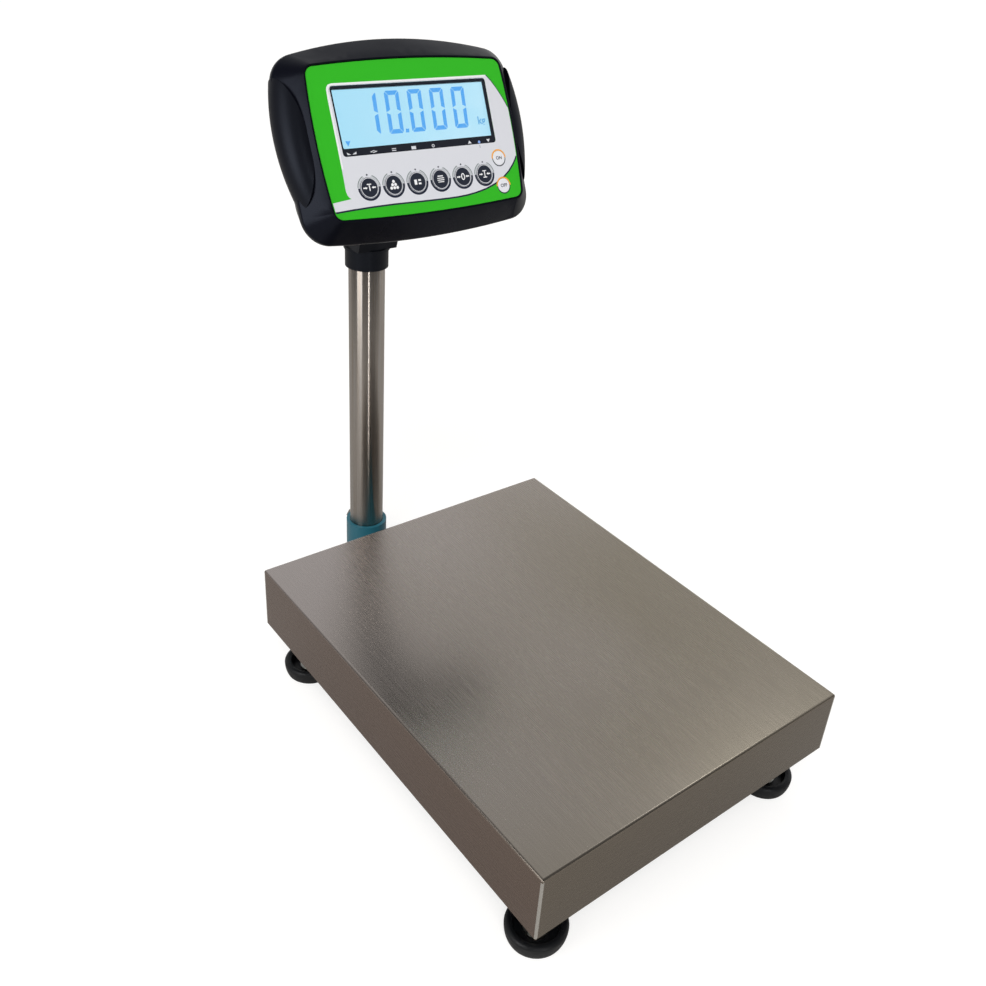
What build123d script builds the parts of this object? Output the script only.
from build123d import *
from math import cos, radians, sin
import os

# A bench platform scale. A stainless cover rests on a load frame, which a single-point load
# cell holds above a painted base frame on four levelling feet. A column behind the platform
# carries the indicator. The floor is z = 0, the front looks along -Y, and the origin is under
# the middle of the whole scale.
os.makedirs("parts", exist_ok=True)

# Stainless cover: an inverted tray of folded sheet
platter_width = 350.0
platter_length = 450.0
skirt_height = 67.6
sheet = 1.5
top_bend = 2.5
corner_bend = 1.0

# Levelling feet
foot_inset_x = 32.0
foot_inset_y = 33.0
foot_radius = 27.0
foot_base_radius = 24.5
foot_height = 16.0
foot_recess_radius = 20.5
foot_floor = 5.0
stud_radius = 5.0
stud_length = 43.0
stud_flange_radius = 11.0
stud_flange = 3.0
stud_hex_flats = 14.0
stud_hex = 5.0
thread_clearance = 0.06
foot_travel_room = 4.0
lock_nut_flats = 17.0
lock_nut_height = 6.0

# Base frame: pressed channel, open below
base_beam = 30.0
base_depth = 30.0
base_wall = 2.5
boss_wall = 5.0
seat_height = 19.5
seat_width = 50.0
seat_plate = 5.0

# Load cell and what bolts it in
cell_length = 150.0
cell_width = 40.0
cell_height = 36.0
cell_eye_radius = 11.5
cell_eye_pitch = 30.0
cell_end = 20.0
cell_bolt_spacing = 20.0
cell_spacer = 5.0
bolt_radius = 4.0
bolt_flats = 13.0
bolt_head = 5.3
bolt_hole_gap = 0.5

# Load frame
load_beam = 25.0
load_depth = 25.0
load_wall = 2.0
cross_width = 60.0
cross_wall = 3.0
pad_radius = 12.0
pad_height = 4.0
pad_stem_radius = 4.0
pad_stem_length = 5.0
pad_fit = 0.2

# Overload stops and the level
stop_inset = 42.0
stop_gap = 0.8
stop_nut_height = 6.5
stop_engagement = 8.0
level_x = 70.0
level_radius = 14.0
level_height = 11.0
level_wall = 3.0

# Column
column_gap = 96.0
pole_radius = 19.0
pole_wall = 1.5
pole_fit = 0.3
sleeve_wall = 4.0
sleeve_bottom = 20.0
sleeve_height = 50.0
sleeve_floor = 3.0
cable_hole_radius = 8.0
arm_width = 40.0
arm_height = 26.0
arm_wall = 2.5
arm_corner = 3.0
flange_width = 104.0
flange_thickness = 5.0
flange_corner = 4.0
thread_tail = 2.0
flange_bolt_spacing = 78.0
clamp_boss_radius = 8.0
clamp_boss = 6.0
clamp_pitch = 24.0
clamp_gap = 0.1
nut_height = 6.5

# Column head: the moulded adapter that turns on the pole and carries the tilt bolt
collar_radius = 22.4
collar_low = 386.0
collar_depth = 50.0
collar_roof = 5.0
swivel_gap = 0.08
collar_lip_height = 19.0
collar_lip = 1.4
collar_lip_thickness = 3.0
head_width = 45.0
head_radius = 13.0
head_rise = 10.0
knuckle_width = 24.0
knuckle_radius = 12.5
knuckle_side_gap = 0.3
knuckle_sweep_gap = 4.0
pivot_setback = 31.0
pivot_rise = 46.0
tilt_bolt_radius = 4.0
tilt_bolt_gap = 0.08
knob_radius = 15.0
knob_thickness = 12.0
knob_lobes = 6
lock_screw_radius = 3.0

# Indicator: places are measured across and up its face, and back from it
display_lean = 24.3
pivot_drop = 44.36
pivot_behind = 20.79
housing_half_width = 124.3
housing_half_foot = 123.3
housing_top = 73.2
housing_shoulder = 56.8
housing_bottom = 106.7
housing_heel = 99.0
top_corner = 27.0
bottom_corner = 26.0
face_proud = 0.7
rim_width = 2.0
slope_depth = 20.5
slope_round = 4.0
face_round = 0.3
parting_depth = 23.0
band_depth = 25.5
band_round = 8.0
rear_depth = 62.0
rear_inset = 16.0
rear_round = 8.0
housing_wall = 3.0
front_wall = 3.0
seal_groove = 1.4
seal_depth = 1.0
seal_fit = 0.1

# Side grips: a ring-shaped bulge, cut to a leaf by a large circle
grip_stand = 6.0
grip_section = 20.6
grip_crest_depth = 23.8
grip_sweep = 190.0
grip_middle = -9.0
leaf_width = 15.3
leaf_radius = 130.0
leaf_middle = -15.0

# Keypad film, window and display
film = 0.6
film_side_margin = 19.8
film_bulge = 3.5
film_top = 50.4
film_top_corner = 46.2
film_bottom = 85.5
film_bottom_corner = 82.2
film_widest = -17.0
film_corner = 8.0
film_gap = 0.4
film_bevel = 0.5
window_width = 164.4
window_height = 59.7
window_thickness = 1.6
window_corner = 3.0
window_gap = 0.2
view_width = 160.5
view_height = 51.0
view_rise = 1.4
lcd_width = 166.0
lcd_height = 57.0
lcd_thickness = 2.8
backlight_width = 158.0
backlight_height = 52.0
backlight_thickness = 3.0
board_depth = 12.4
board_thickness = 1.6
board_width = 188.0
board_height = 62.0
board_parts_height = 3.0
relay_width = 24.0
relay_height = 12.0
chip_x = -20.0
chip_y = 6.0
chip_width = 14.0
header_width = 30.0
header_height = 8.0
header_drop = 8.0

# Keys
key_radius = 9.0
key_gap = 0.3
key_proud = 0.4
key_flange = 0.9
key_flange_overlap = 1.5
key_pitch = 25.1
key_row = -58.0
key_row_start = -63.5
key_count = 6
power_key_radius = 6.7
power_key_inset = 22.5
on_key_y = -44.8
off_key_y = -70.8
keypad_depth = 5.4
keypad_thickness = 1.6
dome_radius = 3.5
dome_height = 0.3

# Battery, its cover, the rear sockets and the screws
battery_width = 120.0
battery_height = 44.0
battery_depth = 27.0
battery_rise = 12.0
battery_gap = 0.3
battery_wall = 2.0
battery_shelf = 2.5
battery_corner = 3.0
cover_margin = 7.0
cover_thickness = 2.0
cover_gap = 0.3
socket_row = -69.0
power_socket_x = -58.0
serial_socket_x = 60.0
gland_x = 34.0
jack_radius = 5.5
jack_flange_radius = 7.5
jack_bore = 3.2
jack_pin = 1.0
jack_depth = 12.0
jack_flange = 2.0
jack_end = 2.0
serial_width = 31.0
serial_height = 12.6
serial_shell_width = 17.0
serial_shell_height = 8.4
serial_shell_reach = 5.8
serial_face_recess = 0.4
serial_opening_gap = 1.0
serial_flange = 1.0
serial_flange_corner = 1.5
serial_shell_wall = 0.8
serial_shell_corner = 2.0
serial_post_spacing = 25.0
serial_post_flats = 4.8
serial_post = 5.0
gland_radius = 6.0
gland_flats = 15.0
gland_nut_radius = 6.8
gland_hexagon = 5.0
gland_cap = 8.0
gland_cap_round = 2.0
gland_stem = 10.0
gland_clamp = 12.0
gland_bore_radius = 3.8
cable_radius = 3.0
upper_screw_x = 92.0
upper_screw_y = 36.0
lower_screw_x = 97.0
lower_screw_y = -60.0
screw_radius = 2.0
screw_head_radius = 3.8
screw_head = 2.6
screw_floor = 3.0
screw_bite = 9.0
front_column = 4.0
rear_column = 6.5
small_screw_radius = 1.5
small_head_radius = 2.7
small_head = 1.8
small_bite = 4.0

# Heights, worked out from the floor up
foot_spacing_x = platter_width - 2 * foot_inset_x
foot_spacing_y = platter_length - 2 * foot_inset_y
base_bottom = foot_height + foot_travel_room + lock_nut_height
base_top = base_bottom + base_depth
seat_top = base_bottom + seat_height
cell_bottom = seat_top + cell_spacer
cell_top = cell_bottom + cell_height
load_bottom = cell_top + cell_spacer
load_top = load_bottom + load_depth
platter_top = load_top + pad_height + sheet
pole_bottom = sleeve_bottom + sleeve_floor
pole_top = collar_low + collar_depth
pivot_height = pole_top + pivot_rise
sleeve_radius = pole_radius + pole_fit + sleeve_wall

# Places along X that follow the housing's side
grip_reach = housing_half_width + grip_stand
leaf_inner = housing_half_width - leaf_width
film_half_width = housing_half_width - film_side_margin
film_corner_x = film_half_width - film_bulge
power_key_x = film_half_width - power_key_inset

# Places along Y: the whole scale is centred on the origin
rear_reach = platter_length / 2 + column_gap + sleeve_radius + clamp_boss + bolt_head
platform_y = (platter_length / 2 - rear_reach) / 2
pole_y = platform_y + platter_length / 2 + column_gap
pivot_y = pole_y - pivot_setback
base_rear = platform_y + foot_spacing_y / 2 + base_beam / 2
seat_y = cell_length / 2 - cell_end
bolt_hole = bolt_radius + bolt_hole_gap
thread_bore = bolt_radius + thread_clearance

# The indicator's face leans back over the pivot that carries it. X runs across it, its Y runs
# up it, and depths run back from it.
lean_sin = sin(radians(display_lean))
lean_cos = cos(radians(display_lean))
pivot_depth = rear_depth + pivot_behind
face = Plane(
    origin=(
        0,
        pivot_y + pivot_drop * lean_sin - pivot_depth * lean_cos,
        pivot_height + pivot_drop * lean_cos + pivot_depth * lean_sin,
    ),
    x_dir=(1, 0, 0),
    z_dir=(0, -lean_cos, lean_sin),
)


def at_depth(depth):
    """The plane that lies this far behind the indicator's face."""
    return face.offset(-depth)


def side_section(x):
    """A plane square to X, with its own X pointing to the rear and its Y pointing up."""
    return Plane(origin=(x, 0, 0), x_dir=(0, 1, 0), z_dir=(1, 0, 0))


def hex_bolt(radius, length, flats, head):
    """A hexagon bolt whose head stands on z = 0, with its shank pointing down."""
    with BuildPart() as bolt:
        with BuildSketch():
            RegularPolygon(flats / 2, 6, major_radius=False)
        extrude(amount=head)
        with BuildSketch():
            Circle(radius)
        extrude(amount=-length)
        chamfer(bolt.edges().group_by(Axis.Z)[0], length=radius * 0.2)
    return bolt.part


def hex_nut(bore, flats, height):
    """A hexagon nut standing on z = 0."""
    with BuildPart() as nut:
        with BuildSketch():
            RegularPolygon(flats / 2, 6, major_radius=False)
            Circle(bore, mode=Mode.SUBTRACT)
        extrude(amount=height)
    return nut.part


def round_screw(radius, length, head_radius, head):
    """A pan-head screw whose head stands on z = 0, with its shank pointing down."""
    with BuildPart() as screw:
        with BuildSketch():
            Circle(head_radius)
        extrude(amount=head)
        fillet(screw.edges().group_by(Axis.Z)[-1], radius=head * 0.5)
        with BuildSketch():
            Circle(radius)
        extrude(amount=-length)
    return screw.part


foot_places = [
    (side * foot_spacing_x / 2, platform_y + end * foot_spacing_y / 2)
    for end in (-1, 1)
    for side in (-1, 1)
]

# Stainless cover, and the room inside it
with BuildPart() as tray_inside:
    with BuildSketch(Plane.XY.offset(platter_top - sheet)):
        with Locations((0, platform_y)):
            Rectangle(platter_width - 2 * sheet, platter_length - 2 * sheet)
    extrude(amount=-skirt_height)
    fillet(tray_inside.edges().group_by(Axis.Z)[-1], radius=top_bend - sheet)
with BuildPart() as platter:
    with BuildSketch(Plane.XY.offset(platter_top)):
        with Locations((0, platform_y)):
            Rectangle(platter_width, platter_length)
    extrude(amount=-skirt_height)
    fillet(platter.edges().filter_by(Axis.Z), radius=corner_bend)
    fillet(platter.edges().group_by(Axis.Z)[-1], radius=top_bend)
    add(tray_inside.part, mode=Mode.SUBTRACT)
platter.part.label = "platter"
export_step(platter.part, "parts/platter.step")

# Load frame: two square tubes along the platform, joined by two channels that open upwards
load_x = foot_spacing_x / 2
load_length = foot_spacing_y + load_beam
with BuildPart() as load_frame:
    with BuildSketch(Plane.XZ.offset(-(platform_y - load_length / 2))):
        with Locations((-load_x, load_top - load_depth / 2), (load_x, load_top - load_depth / 2)):
            Rectangle(load_beam, load_depth)
            Rectangle(load_beam - 2 * load_wall, load_depth - 2 * load_wall, mode=Mode.SUBTRACT)
    extrude(amount=-load_length)
    with BuildSketch(Plane.XY.offset(load_bottom)):
        with Locations((0, platform_y - seat_y), (0, platform_y + seat_y)):
            Rectangle(2 * load_x - load_beam, cross_width)
    extrude(amount=load_depth)
    with BuildSketch(Plane.XY.offset(load_bottom + cross_wall)):
        with Locations((0, platform_y - seat_y), (0, platform_y + seat_y)):
            Rectangle(2 * load_x - load_beam, cross_width - 2 * cross_wall)
    extrude(amount=load_depth, mode=Mode.SUBTRACT)
    with BuildSketch(Plane.XY.offset(load_bottom)):
        with Locations((0, platform_y - seat_y)):
            with GridLocations(0, cell_bolt_spacing, 1, 2):
                Circle(bolt_hole)
    extrude(amount=cross_wall, mode=Mode.SUBTRACT)
    with BuildSketch(Plane.XY.offset(load_top)):
        with Locations(*foot_places):
            Circle(pad_stem_radius + pad_fit)
    extrude(amount=-load_wall, mode=Mode.SUBTRACT)
load_frame.part.label = "load_frame"
export_step(load_frame.part, "parts/load_frame.step")

# Rubber pads under the cover's corners, each with a stem through the load frame
with BuildPart() as platter_pads:
    with BuildSketch(Plane.XY.offset(load_top)):
        with Locations(*foot_places):
            Circle(pad_radius)
    extrude(amount=pad_height)
    with BuildSketch(Plane.XY.offset(load_top)):
        with Locations(*foot_places):
            Circle(pad_stem_radius)
    extrude(amount=-pad_stem_length)
platter_pads.part.label = "platter_pads"
export_step(platter_pads.part, "parts/platter_pads.step")

# Load cell: an aluminium beam with two joined eyes across its middle
with BuildPart() as load_cell:
    with BuildSketch(Plane.XY.offset(cell_bottom)):
        with Locations((0, platform_y)):
            Rectangle(cell_width, cell_length)
    extrude(amount=cell_height)
    with BuildSketch(Plane.YZ.offset(-cell_width / 2)):
        with Locations((platform_y, (cell_bottom + cell_top) / 2)):
            with GridLocations(cell_eye_pitch, 0, 2, 1):
                Circle(cell_eye_radius)
            Rectangle(cell_eye_pitch, cell_eye_radius)
    extrude(amount=cell_width, mode=Mode.SUBTRACT)
    with BuildSketch(Plane.XY.offset(cell_bottom)):
        with Locations((0, platform_y - seat_y), (0, platform_y + seat_y)):
            with GridLocations(0, cell_bolt_spacing, 1, 2):
                Circle(thread_bore)
    extrude(amount=cell_height, mode=Mode.SUBTRACT)
load_cell.part.label = "load_cell"
export_step(load_cell.part, "parts/load_cell.step")


def cell_spacer_plate(y, bottom):
    """The plate that keeps one end of the load cell off its frame."""
    with BuildPart() as plate:
        with BuildSketch(Plane.XY.offset(bottom)):
            with Locations((0, y)):
                Rectangle(cell_width, 2 * cell_end)
                with GridLocations(0, cell_bolt_spacing, 1, 2):
                    Circle(bolt_hole, mode=Mode.SUBTRACT)
        extrude(amount=cell_spacer)
    return plate


lower_spacer = cell_spacer_plate(platform_y + seat_y, seat_top)
lower_spacer.part.label = "lower_spacer"
export_step(lower_spacer.part, "parts/lower_spacer.step")
upper_spacer = cell_spacer_plate(platform_y - seat_y, cell_top)
upper_spacer.part.label = "upper_spacer"
export_step(upper_spacer.part, "parts/upper_spacer.step")

# The fixed end is bolted from below, the live end from above
cell_bolt_bite = cell_height / 3
with BuildPart() as lower_cell_bolts:
    with Locations(
        Location((0, platform_y + seat_y - cell_bolt_spacing / 2, seat_top - seat_plate), (180, 0, 0)),
        Location((0, platform_y + seat_y + cell_bolt_spacing / 2, seat_top - seat_plate), (180, 0, 0)),
    ):
        add(hex_bolt(bolt_radius, seat_plate + cell_spacer + cell_bolt_bite, bolt_flats, bolt_head))
lower_cell_bolts.part.label = "lower_cell_bolts"
export_step(lower_cell_bolts.part, "parts/lower_cell_bolts.step")
with BuildPart() as upper_cell_bolts:
    with Locations(
        (0, platform_y - seat_y - cell_bolt_spacing / 2, load_bottom + cross_wall),
        (0, platform_y - seat_y + cell_bolt_spacing / 2, load_bottom + cross_wall),
    ):
        add(hex_bolt(bolt_radius, cross_wall + cell_spacer + cell_bolt_bite, bolt_flats, bolt_head))
upper_cell_bolts.part.label = "upper_cell_bolts"
export_step(upper_cell_bolts.part, "parts/upper_cell_bolts.step")

# Base frame: a ring of channel with two lower cross channels and a boss over each foot
ring_x = foot_spacing_x + base_beam
ring_y = foot_spacing_y + base_beam
stop_places = [(x, y - stop_inset if y > platform_y else y + stop_inset) for x, y in foot_places]
flange_z = base_bottom + arm_height / 2
with BuildPart() as base_frame:
    with BuildSketch(Plane.XY.offset(base_bottom)):
        with Locations((0, platform_y)):
            Rectangle(ring_x, ring_y)
            Rectangle(ring_x - 2 * base_beam, ring_y - 2 * base_beam, mode=Mode.SUBTRACT)
    extrude(amount=base_depth)
    with BuildSketch(Plane.XY.offset(base_bottom)):
        with Locations((0, platform_y)):
            Rectangle(ring_x - 2 * base_wall, ring_y - 2 * base_wall)
            Rectangle(
                ring_x - 2 * base_beam + 2 * base_wall,
                ring_y - 2 * base_beam + 2 * base_wall,
                mode=Mode.SUBTRACT,
            )
    extrude(amount=base_depth - base_wall, mode=Mode.SUBTRACT)
    with BuildSketch(Plane.XY.offset(base_bottom)):
        with Locations((0, platform_y - seat_y), (0, platform_y + seat_y)):
            Rectangle(ring_x - 2 * base_beam, seat_width)
    extrude(amount=seat_height)
    with BuildSketch(Plane.XY.offset(base_bottom)):
        with Locations((0, platform_y - seat_y), (0, platform_y + seat_y)):
            Rectangle(ring_x - 2 * base_beam, seat_width - 2 * base_wall)
    extrude(amount=seat_height - seat_plate, mode=Mode.SUBTRACT)
    with BuildSketch(Plane.XY.offset(base_bottom)):
        with Locations(*foot_places):
            Circle(stud_radius + boss_wall)
    extrude(amount=base_depth)
    with BuildSketch(Plane.XY.offset(base_bottom)):
        with Locations(*foot_places):
            Circle(stud_radius + thread_clearance)
        with Locations((0, platform_y + seat_y)):
            with GridLocations(0, cell_bolt_spacing, 1, 2):
                Circle(bolt_hole)
        with Locations(*stop_places):
            Circle(thread_bore)
    extrude(amount=base_depth, mode=Mode.SUBTRACT)
    with BuildSketch(Plane.XZ.offset(-base_rear)):
        with Locations((0, flange_z)):
            with GridLocations(flange_bolt_spacing, 0, 2, 1):
                Circle(bolt_hole)
            Circle(cable_hole_radius)
    extrude(amount=base_wall, mode=Mode.SUBTRACT)
base_frame.part.label = "base_frame"
export_step(base_frame.part, "parts/base_frame.step")

# Overload stops: screws that stand in the base frame just under the load frame
with BuildPart() as overload_screws:
    with Locations(*[(x, y, load_bottom - stop_gap - bolt_head) for x, y in stop_places]):
        add(
            hex_bolt(
                bolt_radius,
                load_bottom - stop_gap - bolt_head - base_top + stop_engagement,
                bolt_flats,
                bolt_head,
            )
        )
overload_screws.part.label = "overload_screws"
export_step(overload_screws.part, "parts/overload_screws.step")
with BuildPart() as overload_nuts:
    with Locations(*[(x, y, base_top) for x, y in stop_places]):
        add(hex_nut(thread_bore, bolt_flats, stop_nut_height))
overload_nuts.part.label = "overload_nuts"
export_step(overload_nuts.part, "parts/overload_nuts.step")

# Bubble level on the rear beam: a cup and the glass that closes it
level_y = platform_y + foot_spacing_y / 2
with BuildPart() as level_body:
    with Locations((level_x, level_y, base_top)):
        Cylinder(level_radius, level_height, align=(Align.CENTER, Align.CENTER, Align.MIN))
    with Locations((level_x, level_y, base_top + level_wall)):
        Cylinder(
            level_radius - level_wall,
            level_height,
            align=(Align.CENTER, Align.CENTER, Align.MIN),
            mode=Mode.SUBTRACT,
        )
    chamfer(level_body.edges().filter_by(GeomType.CIRCLE).sort_by(Axis.Z)[-1], length=0.6)
level_body.part.label = "level_body"
export_step(level_body.part, "parts/level_body.step")
with BuildPart() as level_glass:
    with Locations((level_x, level_y, base_top + level_wall)):
        Cylinder(
            level_radius - level_wall - pad_fit,
            level_height - level_wall - 1.0,
            align=(Align.CENTER, Align.CENTER, Align.MIN),
        )
level_glass.part.label = "level_glass"
export_step(level_glass.part, "parts/level_glass.step")

# Levelling feet: a cup with a raised rim, and a stud that turns in it and in the base frame
foot_belly = foot_height * 0.75
rim_crown_radius = (foot_radius + foot_recess_radius) / 2
for number, (x, y) in enumerate(foot_places, start=1):
    with BuildPart() as foot_pad:
        with BuildSketch(Plane(origin=(x, y, 0), x_dir=(1, 0, 0), z_dir=(0, -1, 0))):
            with BuildLine():
                Polyline((0, foot_floor), (0, 0), (foot_base_radius - 1, 0), (foot_base_radius, 1))
                ThreePointArc(
                    (foot_base_radius, 1),
                    (foot_base_radius + (foot_radius - foot_base_radius) * 0.8, foot_belly * 0.6),
                    (foot_radius, foot_belly),
                )
                ThreePointArc(
                    (foot_radius, foot_belly),
                    (rim_crown_radius + 1.5, foot_height - 0.4),
                    (rim_crown_radius - 0.5, foot_height),
                )
                Polyline(
                    (rim_crown_radius - 0.5, foot_height),
                    (foot_recess_radius, foot_height - 1.5),
                    (foot_recess_radius - 1.5, foot_floor),
                    (0, foot_floor),
                )
            make_face()
        revolve(axis=Axis((x, y, 0), (0, 0, 1)))
    foot_pad.part.label = f"foot_pad_{number}"
    export_step(foot_pad.part, f"parts/foot_pad_{number}.step")
    with BuildPart() as foot_stud:
        with Locations((x, y, foot_floor)):
            Cylinder(stud_flange_radius, stud_flange, align=(Align.CENTER, Align.CENTER, Align.MIN))
        with BuildSketch(Plane.XY.offset(foot_floor + stud_flange)):
            with Locations((x, y)):
                RegularPolygon(stud_hex_flats / 2, 6, major_radius=False)
        extrude(amount=stud_hex)
        with Locations((x, y, foot_floor)):
            Cylinder(stud_radius, stud_length, align=(Align.CENTER, Align.CENTER, Align.MIN))
        chamfer(foot_stud.edges().sort_by(Axis.Z)[-1], length=stud_radius * 0.2)
    foot_stud.part.label = f"foot_stud_{number}"
    export_step(foot_stud.part, f"parts/foot_stud_{number}.step")
with BuildPart() as lock_nuts:
    with Locations(*[(x, y, base_bottom - lock_nut_height) for x, y in foot_places]):
        add(hex_nut(stud_radius + thread_clearance, lock_nut_flats, lock_nut_height))
lock_nuts.part.label = "lock_nuts"
export_step(lock_nuts.part, "parts/lock_nuts.step")

# Column bracket: a flange bolted to the base frame, a hollow arm and the sleeve for the pole
clamp_heights = [sleeve_bottom + sleeve_height / 2 + side * clamp_pitch / 2 for side in (-1, 1)]
with BuildPart() as column_bracket:
    with BuildSketch(Plane.XZ.offset(-base_rear)):
        with Locations((0, flange_z)):
            RectangleRounded(flange_width, arm_height, flange_corner)
    extrude(amount=-flange_thickness)
    with BuildSketch(Plane.XZ.offset(-base_rear)):
        with Locations((0, flange_z)):
            RectangleRounded(arm_width, arm_height, arm_corner)
    extrude(amount=-(pole_y - base_rear))
    with Locations((0, pole_y, sleeve_bottom)):
        Cylinder(sleeve_radius, sleeve_height, align=(Align.CENTER, Align.CENTER, Align.MIN))
    with BuildSketch(Plane.XZ.offset(-pole_y)):
        with Locations(*[(0, z) for z in clamp_heights]):
            Circle(clamp_boss_radius)
    extrude(amount=-(sleeve_radius + clamp_boss))
    with BuildSketch(Plane.XZ.offset(-base_rear)):
        with Locations((0, flange_z)):
            RectangleRounded(
                arm_width - 2 * arm_wall, arm_height - 2 * arm_wall, arm_corner - arm_wall / 2
            )
    extrude(amount=-(pole_y - base_rear), mode=Mode.SUBTRACT)
    with Locations((0, pole_y, sleeve_bottom)):
        Cylinder(
            pole_radius + pole_fit,
            sleeve_floor,
            align=(Align.CENTER, Align.CENTER, Align.MIN),
        )
        Cylinder(
            cable_hole_radius,
            sleeve_floor,
            align=(Align.CENTER, Align.CENTER, Align.MIN),
            mode=Mode.SUBTRACT,
        )
    with Locations((0, pole_y, pole_bottom)):
        Cylinder(
            pole_radius + pole_fit,
            sleeve_height,
            align=(Align.CENTER, Align.CENTER, Align.MIN),
            mode=Mode.SUBTRACT,
        )
    with BuildSketch(Plane.XZ.offset(-pole_y)):
        with Locations(*[(0, z) for z in clamp_heights]):
            Circle(thread_bore)
    extrude(amount=-(sleeve_radius + clamp_boss), mode=Mode.SUBTRACT)
    with BuildSketch(Plane.XZ.offset(-base_rear)):
        with Locations((0, flange_z)):
            with GridLocations(flange_bolt_spacing, 0, 2, 1):
                Circle(bolt_hole)
    extrude(amount=-flange_thickness, mode=Mode.SUBTRACT)
column_bracket.part.label = "column_bracket"
export_step(column_bracket.part, "parts/column_bracket.step")

facing_rear = (-90, 0, 0)
facing_front = (90, 0, 0)
bracket_bolt_x = (-flange_bolt_spacing / 2, flange_bolt_spacing / 2)
with BuildPart() as bracket_bolts:
    with Locations(
        *[Location((x, base_rear + flange_thickness, flange_z), facing_rear) for x in bracket_bolt_x]
    ):
        add(
            hex_bolt(
                bolt_radius,
                flange_thickness + base_wall + nut_height + thread_tail,
                bolt_flats,
                bolt_head,
            )
        )
bracket_bolts.part.label = "bracket_bolts"
export_step(bracket_bolts.part, "parts/bracket_bolts.step")
with BuildPart() as bracket_nuts:
    with Locations(
        *[Location((x, base_rear - base_wall, flange_z), facing_front) for x in bracket_bolt_x]
    ):
        add(hex_nut(thread_bore, bolt_flats, nut_height))
bracket_nuts.part.label = "bracket_nuts"
export_step(bracket_nuts.part, "parts/bracket_nuts.step")
with BuildPart() as sleeve_screws:
    with Locations(
        *[
            Location((0, pole_y + sleeve_radius + clamp_boss, z), facing_rear)
            for z in clamp_heights
        ]
    ):
        add(
            hex_bolt(
                bolt_radius,
                clamp_boss + sleeve_wall + pole_fit - clamp_gap,
                bolt_flats,
                bolt_head,
            )
        )
sleeve_screws.part.label = "sleeve_screws"
export_step(sleeve_screws.part, "parts/sleeve_screws.step")

# Pole
with BuildPart() as pole:
    with Locations((0, pole_y, pole_bottom)):
        Cylinder(
            pole_radius,
            pole_top - pole_bottom,
            align=(Align.CENTER, Align.CENTER, Align.MIN),
        )
        Cylinder(
            pole_radius - pole_wall,
            pole_top - pole_bottom,
            align=(Align.CENTER, Align.CENTER, Align.MIN),
            mode=Mode.SUBTRACT,
        )
pole.part.label = "pole"
export_step(pole.part, "parts/pole.step")

# Column head
head_foot = collar_low + collar_lip_height + collar_lip_thickness
collar_top = pole_top + collar_roof
with BuildPart() as column_head:
    with Locations((0, pole_y, collar_low)):
        Cylinder(
            collar_radius,
            collar_top - collar_low,
            align=(Align.CENTER, Align.CENTER, Align.MIN),
        )
    with Locations((0, pole_y, collar_low + collar_lip_height)):
        Cylinder(
            collar_radius + collar_lip,
            collar_lip_thickness,
            align=(Align.CENTER, Align.CENTER, Align.MIN),
        )
    with BuildSketch(side_section(-head_width / 2)):
        with Locations((pivot_y, pivot_height)):
            Circle(head_radius)
        with Locations((pole_y, head_foot + head_rise / 2)):
            Rectangle(2 * collar_radius - 2, head_rise)
        make_hull()
    extrude(amount=head_width)
    slot_half = knuckle_width / 2 + knuckle_side_gap
    sweep = knuckle_radius + knuckle_sweep_gap
    with BuildSketch(side_section(-slot_half)):
        with Locations((pivot_y, pivot_height)):
            Circle(sweep)
        with Locations((pivot_y - sweep, pivot_height)):
            Rectangle(2 * sweep, 2 * sweep)
    extrude(amount=2 * slot_half, mode=Mode.SUBTRACT)
    with BuildSketch(side_section(-head_width / 2)):
        with Locations((pivot_y, pivot_height)):
            Circle(tilt_bolt_radius + tilt_bolt_gap)
    extrude(amount=head_width, mode=Mode.SUBTRACT)
    with Locations((0, pole_y, collar_low)):
        Cylinder(
            pole_radius + swivel_gap,
            collar_depth,
            align=(Align.CENTER, Align.CENTER, Align.MIN),
            mode=Mode.SUBTRACT,
        )
        Cylinder(
            cable_hole_radius,
            pivot_height + head_radius - collar_low,
            align=(Align.CENTER, Align.CENTER, Align.MIN),
            mode=Mode.SUBTRACT,
        )
    lock_screw_z = collar_low + collar_lip_height / 2
    with BuildSketch(Plane.XZ.offset(-pole_y)):
        with Locations((0, lock_screw_z)):
            Circle(lock_screw_radius + thread_clearance)
    extrude(amount=-(collar_radius + 1), mode=Mode.SUBTRACT)
column_head.part.label = "column_head"
export_step(column_head.part, "parts/column_head.step")
with BuildPart() as column_lock_screw:
    with BuildSketch(Plane.XZ.offset(-(pole_y + pole_radius + clamp_gap))):
        with Locations((0, lock_screw_z)):
            Circle(lock_screw_radius)
    extrude(amount=-(collar_radius - pole_radius - clamp_gap - 0.4))
column_lock_screw.part.label = "column_lock_screw"
export_step(column_lock_screw.part, "parts/column_lock_screw.step")

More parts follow.
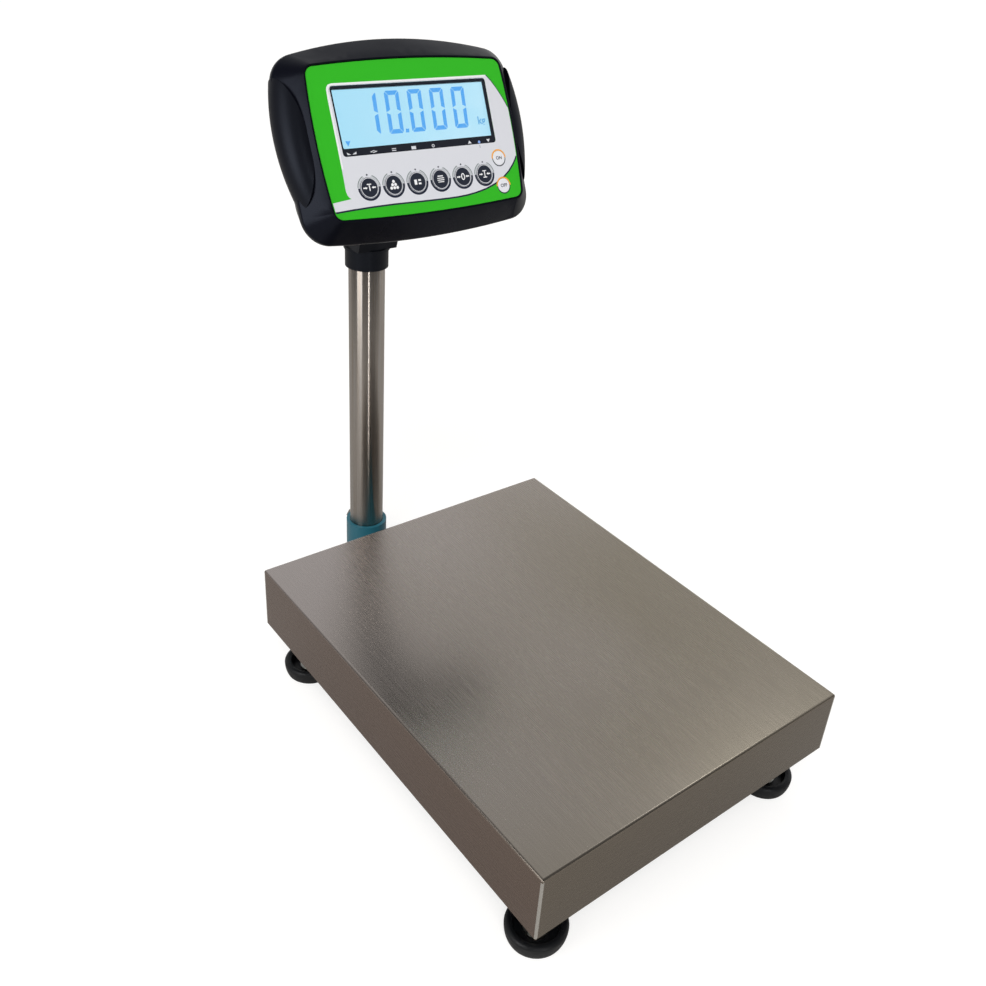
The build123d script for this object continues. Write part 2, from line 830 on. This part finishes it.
# Tilt bolt, its nut and the hand knob that tightens it
with BuildPart() as tilt_bolt:
    with Locations(Location((-head_width / 2, pivot_y, pivot_height), (0, -90, 0))):
        add(hex_bolt(tilt_bolt_radius, head_width + knob_thickness * 0.75, bolt_flats, bolt_head))
tilt_bolt.part.label = "tilt_bolt"
export_step(tilt_bolt.part, "parts/tilt_bolt.step")
with BuildPart() as tilt_knob:
    with BuildSketch(side_section(head_width / 2)):
        with Locations((pivot_y, pivot_height)):
            Circle(knob_radius)
            with PolarLocations(knob_radius * 1.12, knob_lobes):
                Circle(knob_radius * 0.28, mode=Mode.SUBTRACT)
    extrude(amount=knob_thickness)
    fillet(tilt_knob.edges().filter_by(Axis.X), radius=knob_radius * 0.08)
    chamfer(tilt_knob.faces().sort_by(Axis.X)[-1].edges(), length=0.8)
    with BuildSketch(side_section(head_width / 2)):
        with Locations((pivot_y, pivot_height)):
            Circle(tilt_bolt_radius + thread_clearance)
    extrude(amount=knob_thickness * 0.8, mode=Mode.SUBTRACT)
tilt_knob.part.label = "tilt_knob"
export_step(tilt_knob.part, "parts/tilt_knob.step")


def behind(point):
    """How far a point lies behind the indicator's face."""
    return -face.to_local_coords(point).Z


def edges_at(shape, depth):
    """The edges whose middle lies this far behind the indicator's face."""
    return shape.edges().filter_by(lambda edge: abs(behind(edge.center()) - depth) < 0.02)


def housing_outline(inset=0.0, softness=0.0):
    """The housing seen from the front, drawn this far inside its widest line."""
    half, foot = housing_half_width, housing_half_foot
    with BuildSketch() as outline:
        with BuildLine():
            ThreePointArc((-half, housing_shoulder), (0, housing_top), (half, housing_shoulder))
            Line((half, housing_shoulder), (foot, -housing_heel))
            ThreePointArc((foot, -housing_heel), (0, -housing_bottom), (-foot, -housing_heel))
            Line((-foot, -housing_heel), (-half, housing_shoulder))
        make_face()
        if inset:
            offset(amount=-inset, kind=Kind.INTERSECTION)
        fillet(outline.vertices().group_by(Axis.Y)[-1], radius=top_corner + softness)
        fillet(outline.vertices().group_by(Axis.Y)[0], radius=bottom_corner + softness)
    return outline.sketch


def wall_line(inset):
    """A line that runs evenly this far inside the housing's outline."""
    return housing_outline(inset, -inset)


def film_outline(grow=0.0):
    """The keypad film: four bowed edges with rounded corners."""
    left_top = (-film_corner_x, film_top_corner)
    right_top = (film_corner_x, film_top_corner)
    left_low = (-film_corner_x, -film_bottom_corner)
    right_low = (film_corner_x, -film_bottom_corner)
    with BuildSketch() as outline:
        with BuildLine():
            ThreePointArc(left_top, (0, film_top), right_top)
            ThreePointArc(right_top, (film_half_width, film_widest), right_low)
            ThreePointArc(right_low, (0, -film_bottom), left_low)
            ThreePointArc(left_low, (-film_half_width, film_widest), left_top)
        make_face()
        fillet(outline.vertices(), radius=film_corner)
        if grow:
            offset(amount=grow)
    return outline.sketch


def leaf_bulge(inset=0.0):
    """Both side bulges: a ring cut by a large circle on the right, and its mirror image."""
    with BuildPart(at_depth(grip_crest_depth)) as bulge:
        with Locations((grip_reach - grip_sweep, grip_middle, 0)):
            Torus(grip_sweep - grip_section, grip_section - inset)
        with BuildSketch(at_depth(rear_depth)):
            with Locations((leaf_inner + leaf_radius, leaf_middle)):
                Circle(leaf_radius - inset)
        extrude(amount=rear_depth + grip_section, mode=Mode.INTERSECT)
        mirror(about=Plane.YZ)
    return bulge.part


def slab(near, far):
    """A block wider than the indicator, between two depths behind its face."""
    with BuildPart() as block:
        with BuildSketch(at_depth(far)):
            Rectangle(4 * housing_half_width, 4 * housing_half_width)
        extrude(amount=far - near)
    return block.part


wall_back = film + front_wall
housing_shape = housing_outline()
inner_shape = wall_line(housing_wall)
rear_shape = housing_outline(rear_inset)
rear_inner_shape = housing_outline(rear_inset + housing_wall, -housing_wall)
film_shape = film_outline()
film_pocket = film_outline(film_gap)
film_mouth = film_outline(film_gap + film_bevel)
rim_shape = film_outline(rim_width)
inner_rim_shape = film_outline(rim_width - 0.6)
bulges = leaf_bulge()
hollows = leaf_bulge(housing_wall)

key_places = [(key_row_start + i * key_pitch, key_row) for i in range(key_count)]
power_places = [(power_key_x, on_key_y), (power_key_x, off_key_y)]
housing_screws_at = [
    (side * x, y)
    for side in (-1, 1)
    for x, y in ((upper_screw_x, upper_screw_y), (lower_screw_x, lower_screw_y))
]
board_screws_at = [
    (side * (board_width / 2 - front_column), end * (board_height / 2 - 2))
    for side in (-1, 1)
    for end in (-1, 1)
]
keypad_left = key_row_start - key_radius - 8
keypad_right = power_key_x + power_key_radius + 0.8
keypad_top = on_key_y + power_key_radius + 2
keypad_low = off_key_y - power_key_radius + 2
keypad_screws_at = [
    (keypad_left + 3, keypad_low + 3),
    (keypad_left + 3, keypad_top - 3),
    (keypad_right - 3, (on_key_y + off_key_y) / 2),
]
window_back = window_thickness
lcd_back = wall_back + lcd_thickness
backlight_back = lcd_back + backlight_thickness

# Front housing: a moulded frame that slopes back from the film to the parting line
with BuildPart() as front_solid:
    with BuildSketch(at_depth(parting_depth)):
        add(housing_shape)
    extrude(amount=parting_depth - slope_depth)
    with BuildSketch(at_depth(slope_depth)):
        add(housing_shape)
    with BuildSketch(at_depth(-face_proud)):
        add(rim_shape)
    loft(ruled=True)
    fillet(edges_at(front_solid, slope_depth), radius=slope_round)
    fillet(edges_at(front_solid, -face_proud), radius=face_round)

with BuildPart() as front_housing:
    add(front_solid.part)
    with BuildSketch(at_depth(film)):
        add(film_pocket)
    with BuildSketch(at_depth(-face_proud)):
        add(film_mouth)
    loft(ruled=True, mode=Mode.SUBTRACT)
    with BuildSketch(at_depth(parting_depth)):
        add(inner_shape)
    extrude(amount=parting_depth - slope_depth, mode=Mode.SUBTRACT)
    with BuildSketch(at_depth(slope_depth)):
        add(inner_shape)
    with BuildSketch(at_depth(wall_back)):
        add(inner_rim_shape)
    loft(ruled=True, mode=Mode.SUBTRACT)
    with BuildSketch(at_depth(parting_depth)):
        with Locations(*housing_screws_at):
            Circle(front_column)
    extrude(amount=parting_depth - wall_back)
    with BuildSketch(at_depth(board_depth)):
        with Locations(*board_screws_at):
            Circle(front_column)
    extrude(amount=board_depth - wall_back)
    with BuildSketch(at_depth(keypad_depth)):
        with Locations(*keypad_screws_at):
            Circle(front_column - 0.5)
    extrude(amount=keypad_depth - wall_back)
    with BuildSketch(at_depth(window_back)):
        RectangleRounded(
            window_width + 2 * window_gap,
            window_height + 2 * window_gap,
            window_corner,
        )
    extrude(amount=window_back, mode=Mode.SUBTRACT)
    with BuildSketch(at_depth(wall_back)):
        with Locations((0, view_rise)):
            Rectangle(view_width, view_height)
        with Locations(*key_places):
            Circle(key_radius + key_gap)
        with Locations(*power_places):
            Circle(power_key_radius + key_gap)
    extrude(amount=wall_back, mode=Mode.SUBTRACT)
    with BuildSketch(at_depth(parting_depth)):
        with Locations(*housing_screws_at):
            Circle(screw_radius + thread_clearance)
    extrude(amount=screw_bite, mode=Mode.SUBTRACT)
    with BuildSketch(at_depth(board_depth)):
        with Locations(*board_screws_at):
            Circle(small_screw_radius + thread_clearance)
    extrude(amount=small_bite, mode=Mode.SUBTRACT)
    with BuildSketch(at_depth(keypad_depth)):
        with Locations(*keypad_screws_at):
            Circle(small_screw_radius + thread_clearance)
    extrude(amount=small_bite - keypad_thickness, mode=Mode.SUBTRACT)
    with BuildSketch(at_depth(parting_depth)):
        add(wall_line((housing_wall - seal_groove) / 2))
        add(wall_line((housing_wall + seal_groove) / 2), mode=Mode.SUBTRACT)
    extrude(amount=seal_depth, mode=Mode.SUBTRACT)
front_housing.part.label = "front_housing"
export_step(front_housing.part, "parts/front_housing.step")

# Seal cord in the groove of the parting face
with BuildPart() as housing_seal:
    with BuildSketch(at_depth(parting_depth)):
        add(wall_line((housing_wall - seal_groove) / 2 + seal_fit))
        add(wall_line((housing_wall + seal_groove) / 2 - seal_fit), mode=Mode.SUBTRACT)
    extrude(amount=seal_depth)
housing_seal.part.label = "housing_seal"
export_step(housing_seal.part, "parts/housing_seal.step")

# Soft side grips over the front housing's slope
for side, name in ((-1, "left_grip"), (1, "right_grip")):
    with BuildPart() as grip:
        add(bulges)
        add(slab(-rear_depth, parting_depth), mode=Mode.INTERSECT)
        add(front_solid.part, mode=Mode.SUBTRACT)
        split(bisect_by=Plane.YZ, keep=Keep.TOP if side > 0 else Keep.BOTTOM)
    grip.part.label = name
    export_step(grip.part, f"parts/{name}.step")

# Rear housing: a softly tapered shell with the tilt knuckle, battery bay and sockets
pivot = face.to_local_coords(Vector(0, pivot_y, pivot_height))
knuckle_root = [
    face.from_local_coords(Vector(0, pivot.Y + side * knuckle_radius * 1.35, 1 - rear_depth))
    for side in (-1, 1)
]
bay_width = battery_width + 2 * battery_gap
bay_height = battery_height + 2 * battery_gap
cover_width = battery_width + 2 * cover_margin
cover_height = battery_height + 2 * cover_margin
bay_mouth = rear_depth - cover_thickness
bay_floor = bay_mouth - battery_depth - battery_gap
cover_screws_at = [
    (side * (cover_width - cover_margin) / 2, battery_rise + battery_gap) for side in (-1, 1)
]
with BuildPart() as rear_bulges:
    add(bulges)
    add(slab(parting_depth, rear_depth), mode=Mode.INTERSECT)
with BuildPart() as rear_hollows:
    add(hollows)
    add(slab(parting_depth + housing_wall, rear_depth), mode=Mode.INTERSECT)
with BuildPart() as rear_cavity:
    with BuildSketch(at_depth(band_depth)):
        add(inner_shape)
    with BuildSketch(at_depth(rear_depth - housing_wall)):
        add(rear_inner_shape)
    loft(ruled=True)
with BuildPart() as rear_housing:
    with BuildSketch(at_depth(band_depth)):
        add(housing_shape)
    extrude(amount=band_depth - parting_depth)
    with BuildSketch(at_depth(band_depth)):
        add(housing_shape)
    with BuildSketch(at_depth(rear_depth)):
        add(rear_shape)
    loft(ruled=True)
    fillet(edges_at(rear_housing, rear_depth), radius=rear_round)
    fillet(edges_at(rear_housing, band_depth), radius=band_round)
    add(rear_bulges.part)
    add(rear_hollows.part, mode=Mode.SUBTRACT)
    with BuildSketch(at_depth(band_depth)):
        add(inner_shape)
    extrude(amount=band_depth - parting_depth, mode=Mode.SUBTRACT)
    add(rear_cavity.part, mode=Mode.SUBTRACT)
    with BuildSketch(at_depth(rear_depth - housing_wall)):
        with Locations((0, battery_rise)):
            Rectangle(bay_width + 2 * battery_wall, bay_height + 2 * battery_wall)
    extrude(amount=rear_depth - housing_wall - bay_floor + battery_wall)
    with BuildSketch(at_depth(rear_depth - housing_wall)):
        with Locations((0, battery_rise)):
            Rectangle(cover_width, cover_height)
    extrude(amount=battery_shelf)
    with BuildSketch(at_depth(rear_depth)):
        with Locations((0, battery_rise)):
            RectangleRounded(cover_width, cover_height, battery_corner)
    extrude(amount=cover_thickness, mode=Mode.SUBTRACT)
    with BuildSketch(at_depth(bay_mouth)):
        with Locations((0, battery_rise)):
            RectangleRounded(bay_width, bay_height, battery_corner)
    extrude(amount=bay_mouth - bay_floor, mode=Mode.SUBTRACT)
    with BuildSketch(at_depth(parting_depth)):
        with Locations(*housing_screws_at):
            Circle(rear_column)
    extrude(amount=parting_depth - rear_depth + housing_wall)
    with BuildSketch(at_depth(parting_depth)):
        with Locations(*housing_screws_at):
            Circle(screw_radius + bolt_hole_gap)
    extrude(amount=-screw_floor, mode=Mode.SUBTRACT)
    with BuildSketch(at_depth(parting_depth + screw_floor)):
        with Locations(*housing_screws_at):
            Circle(screw_head_radius + bolt_hole_gap)
    extrude(amount=-rear_depth, mode=Mode.SUBTRACT)
    with BuildSketch(at_depth(bay_mouth)):
        with Locations(*cover_screws_at):
            Circle(small_screw_radius + thread_clearance)
    extrude(amount=small_bite - 1, mode=Mode.SUBTRACT)
    with BuildSketch(at_depth(rear_depth)):
        with Locations((power_socket_x, socket_row)):
            Circle(jack_radius + bolt_hole_gap)
        with Locations((gland_x, socket_row)):
            Circle(gland_radius + bolt_hole_gap)
        with Locations((serial_socket_x, socket_row)):
            Rectangle(
                serial_shell_width + 2 * serial_opening_gap,
                serial_shell_height + 2 * serial_opening_gap,
            )
    extrude(amount=housing_wall, mode=Mode.SUBTRACT)
    with BuildSketch(side_section(-knuckle_width / 2)):
        with Locations((pivot_y, pivot_height)):
            Circle(knuckle_radius)
        for root in knuckle_root:
            with Locations((root.Y, root.Z)):
                Circle(0.5)
        make_hull()
    extrude(amount=knuckle_width)
    with BuildSketch(side_section(-knuckle_width / 2)):
        with Locations((pivot_y, pivot_height)):
            Circle(tilt_bolt_radius + tilt_bolt_gap)
    extrude(amount=knuckle_width, mode=Mode.SUBTRACT)
rear_housing.part.label = "rear_housing"
export_step(rear_housing.part, "parts/rear_housing.step")

# Keypad film, display window, display and its backlight
with BuildPart() as overlay:
    with BuildSketch(at_depth(film)):
        add(film_shape)
        RectangleRounded(
            window_width + 2 * window_gap,
            window_height + 2 * window_gap,
            window_corner,
            mode=Mode.SUBTRACT,
        )
        with Locations(*key_places):
            Circle(key_radius + key_gap, mode=Mode.SUBTRACT)
        with Locations(*power_places):
            Circle(power_key_radius + key_gap, mode=Mode.SUBTRACT)
    extrude(amount=film)
overlay.part.label = "overlay"
export_step(overlay.part, "parts/overlay.step")
with BuildPart() as display_window:
    with BuildSketch(at_depth(window_back)):
        RectangleRounded(window_width, window_height, window_corner)
    extrude(amount=window_thickness)
display_window.part.label = "display_window"
export_step(display_window.part, "parts/display_window.step")
with BuildPart() as lcd_panel:
    with BuildSketch(at_depth(lcd_back)):
        with Locations((0, view_rise)):
            Rectangle(lcd_width, lcd_height)
    extrude(amount=lcd_thickness)
lcd_panel.part.label = "lcd_panel"
export_step(lcd_panel.part, "parts/lcd_panel.step")
with BuildPart() as backlight:
    with BuildSketch(at_depth(backlight_back)):
        with Locations((0, view_rise)):
            Rectangle(backlight_width, backlight_height)
    extrude(amount=backlight_thickness)
backlight.part.label = "backlight"
export_step(backlight.part, "parts/backlight.step")

# Main board with its connectors, and the keypad board with a dome under each key
board_back = board_depth + board_thickness
with BuildPart() as main_board:
    with BuildSketch(at_depth(board_back)):
        Rectangle(board_width, board_height)
        with Locations(*board_screws_at):
            Circle(small_screw_radius + bolt_hole_gap / 2, mode=Mode.SUBTRACT)
    extrude(amount=board_thickness)
    with BuildSketch(at_depth(board_back)):
        with Locations((power_socket_x, 0)):
            Rectangle(relay_width, relay_height)
        with Locations((chip_x, chip_y)):
            Rectangle(chip_width, chip_width)
        with Locations((serial_socket_x, -header_drop)):
            Rectangle(header_width, header_height)
    extrude(amount=-board_parts_height)
main_board.part.label = "main_board"
export_step(main_board.part, "parts/main_board.step")
with BuildPart() as keypad_board:
    with BuildSketch(at_depth(keypad_depth + keypad_thickness)):
        with Locations(((keypad_left + keypad_right) / 2, (keypad_low + keypad_top) / 2)):
            Rectangle(keypad_right - keypad_left, keypad_top - keypad_low)
        with Locations(*keypad_screws_at):
            Circle(small_screw_radius + bolt_hole_gap / 2, mode=Mode.SUBTRACT)
    extrude(amount=keypad_thickness)
    with BuildSketch(at_depth(keypad_depth)):
        with Locations(*key_places, *power_places):
            Circle(dome_radius)
    extrude(amount=dome_height)
keypad_board.part.label = "keypad_board"
export_step(keypad_board.part, "parts/keypad_board.step")


def face_screws(places, seat, radius, length, head_radius, head):
    """Pan-head screws driven from the rear, their heads on a surface this deep."""
    with BuildPart() as screws:
        with Locations(*[at_depth(seat) * Location((x, y, 0), (180, 0, 0)) for x, y in places]):
            add(round_screw(radius, length, head_radius, head))
    return screws


board_screws = face_screws(
    board_screws_at,
    board_back,
    small_screw_radius,
    board_thickness + small_bite,
    small_head_radius,
    small_head,
)
board_screws.part.label = "board_screws"
export_step(board_screws.part, "parts/board_screws.step")
keypad_screws = face_screws(
    keypad_screws_at,
    keypad_depth + keypad_thickness,
    small_screw_radius,
    small_bite,
    small_head_radius,
    small_head,
)
keypad_screws.part.label = "keypad_screws"
export_step(keypad_screws.part, "parts/keypad_screws.step")
housing_screws = face_screws(
    housing_screws_at,
    parting_depth + screw_floor,
    screw_radius,
    screw_floor + screw_bite,
    screw_head_radius,
    screw_head,
)
housing_screws.part.label = "housing_screws"
export_step(housing_screws.part, "parts/housing_screws.step")
battery_cover_screws = face_screws(
    cover_screws_at,
    rear_depth,
    small_screw_radius,
    cover_thickness + small_bite - 1,
    small_head_radius,
    small_head,
)
battery_cover_screws.part.label = "battery_cover_screws"
export_step(battery_cover_screws.part, "parts/battery_cover_screws.step")


def round_key(x, y, radius):
    """A key: a disc a little proud of the film, with a flange behind the front wall."""
    with BuildPart() as key:
        with BuildSketch(at_depth(wall_back)):
            with Locations((x, y)):
                Circle(radius)
        extrude(amount=wall_back + key_proud)
        chamfer(edges_at(key, -key_proud), length=key_proud * 0.6)
        with BuildSketch(at_depth(wall_back + key_flange)):
            with Locations((x, y)):
                Circle(radius + key_flange_overlap)
        extrude(amount=key_flange)
    return key


# Keys
key_list = [(f"key_{i + 1}", x, y, key_radius) for i, (x, y) in enumerate(key_places)]
key_list += [("key_on", *power_places[0], power_key_radius)]
key_list += [("key_off", *power_places[1], power_key_radius)]
for name, x, y, radius in key_list:
    key = round_key(x, y, radius)
    key.part.label = name
    export_step(key.part, f"parts/{name}.step")

# Battery and its cover
with BuildPart() as battery:
    with BuildSketch(at_depth(bay_mouth)):
        with Locations((0, battery_rise)):
            RectangleRounded(battery_width, battery_height, battery_corner)
    extrude(amount=battery_depth)
battery.part.label = "battery"
export_step(battery.part, "parts/battery.step")
with BuildPart() as battery_cover:
    with BuildSketch(at_depth(rear_depth)):
        with Locations((0, battery_rise)):
            RectangleRounded(
                cover_width - 2 * cover_gap,
                cover_height - 2 * cover_gap,
                battery_corner,
            )
        with Locations(*cover_screws_at):
            Circle(small_screw_radius + bolt_hole_gap / 2, mode=Mode.SUBTRACT)
    extrude(amount=cover_thickness)
battery_cover.part.label = "battery_cover"
export_step(battery_cover.part, "parts/battery_cover.step")

# Power jack, serial socket and the gland for the load cell's cable
with BuildPart() as power_socket:
    with BuildSketch(at_depth(rear_depth)):
        with Locations((power_socket_x, socket_row)):
            Circle(jack_flange_radius)
    extrude(amount=-jack_flange)
    with BuildSketch(at_depth(rear_depth)):
        with Locations((power_socket_x, socket_row)):
            Circle(jack_radius)
    extrude(amount=jack_depth)
    with BuildSketch(at_depth(rear_depth + jack_flange)):
        with Locations((power_socket_x, socket_row)):
            Circle(jack_bore)
            Circle(jack_pin, mode=Mode.SUBTRACT)
    extrude(amount=jack_depth - jack_end, mode=Mode.SUBTRACT)
power_socket.part.label = "power_socket"
export_step(power_socket.part, "parts/power_socket.step")
with BuildPart() as serial_socket:
    with BuildSketch(at_depth(rear_depth)):
        with Locations((serial_socket_x, socket_row)):
            RectangleRounded(serial_width, serial_height, serial_flange_corner)
    extrude(amount=-serial_flange)
    with BuildSketch(at_depth(rear_depth + serial_shell_reach)):
        with Locations((serial_socket_x, socket_row)):
            RectangleRounded(serial_shell_width, serial_shell_height, serial_shell_corner)
    extrude(amount=serial_shell_reach + jack_depth)
    with BuildSketch(at_depth(rear_depth + serial_shell_reach)):
        with Locations((serial_socket_x, socket_row)):
            RectangleRounded(
                serial_shell_width - 2 * serial_shell_wall,
                serial_shell_height - 2 * serial_shell_wall,
                serial_shell_corner - serial_shell_wall / 2,
            )
    extrude(amount=serial_face_recess, mode=Mode.SUBTRACT)
    with BuildSketch(at_depth(rear_depth + serial_flange)):
        with Locations((serial_socket_x, socket_row)):
            with GridLocations(serial_post_spacing, 0, 2, 1):
                RegularPolygon(serial_post_flats / 2, 6, major_radius=False)
    extrude(amount=-serial_post)
serial_socket.part.label = "serial_socket"
export_step(serial_socket.part, "parts/serial_socket.step")
gland_end = rear_depth + gland_hexagon + gland_cap
with BuildPart() as cable_gland:
    with BuildSketch(at_depth(rear_depth)):
        with Locations((gland_x, socket_row)):
            RegularPolygon(gland_flats / 2, 6, major_radius=False)
    extrude(amount=-gland_hexagon)
    with BuildSketch(at_depth(rear_depth + gland_hexagon)):
        with Locations((gland_x, socket_row)):
            Circle(gland_nut_radius)
    extrude(amount=-gland_cap)
    fillet(edges_at(cable_gland, gland_end), radius=gland_cap_round)
    with BuildSketch(at_depth(rear_depth)):
        with Locations((gland_x, socket_row)):
            Circle(gland_radius)
    extrude(amount=gland_stem)
    with BuildSketch(at_depth(gland_end)):
        with Locations((gland_x, socket_row)):
            Circle(cable_radius)
    extrude(amount=gland_clamp, mode=Mode.SUBTRACT)
    with BuildSketch(at_depth(gland_end - gland_clamp)):
        with Locations((gland_x, socket_row)):
            Circle(gland_bore_radius)
    extrude(amount=gland_hexagon + gland_cap + gland_stem - gland_clamp, mode=Mode.SUBTRACT)
cable_gland.part.label = "cable_gland"
export_step(cable_gland.part, "parts/cable_gland.step")
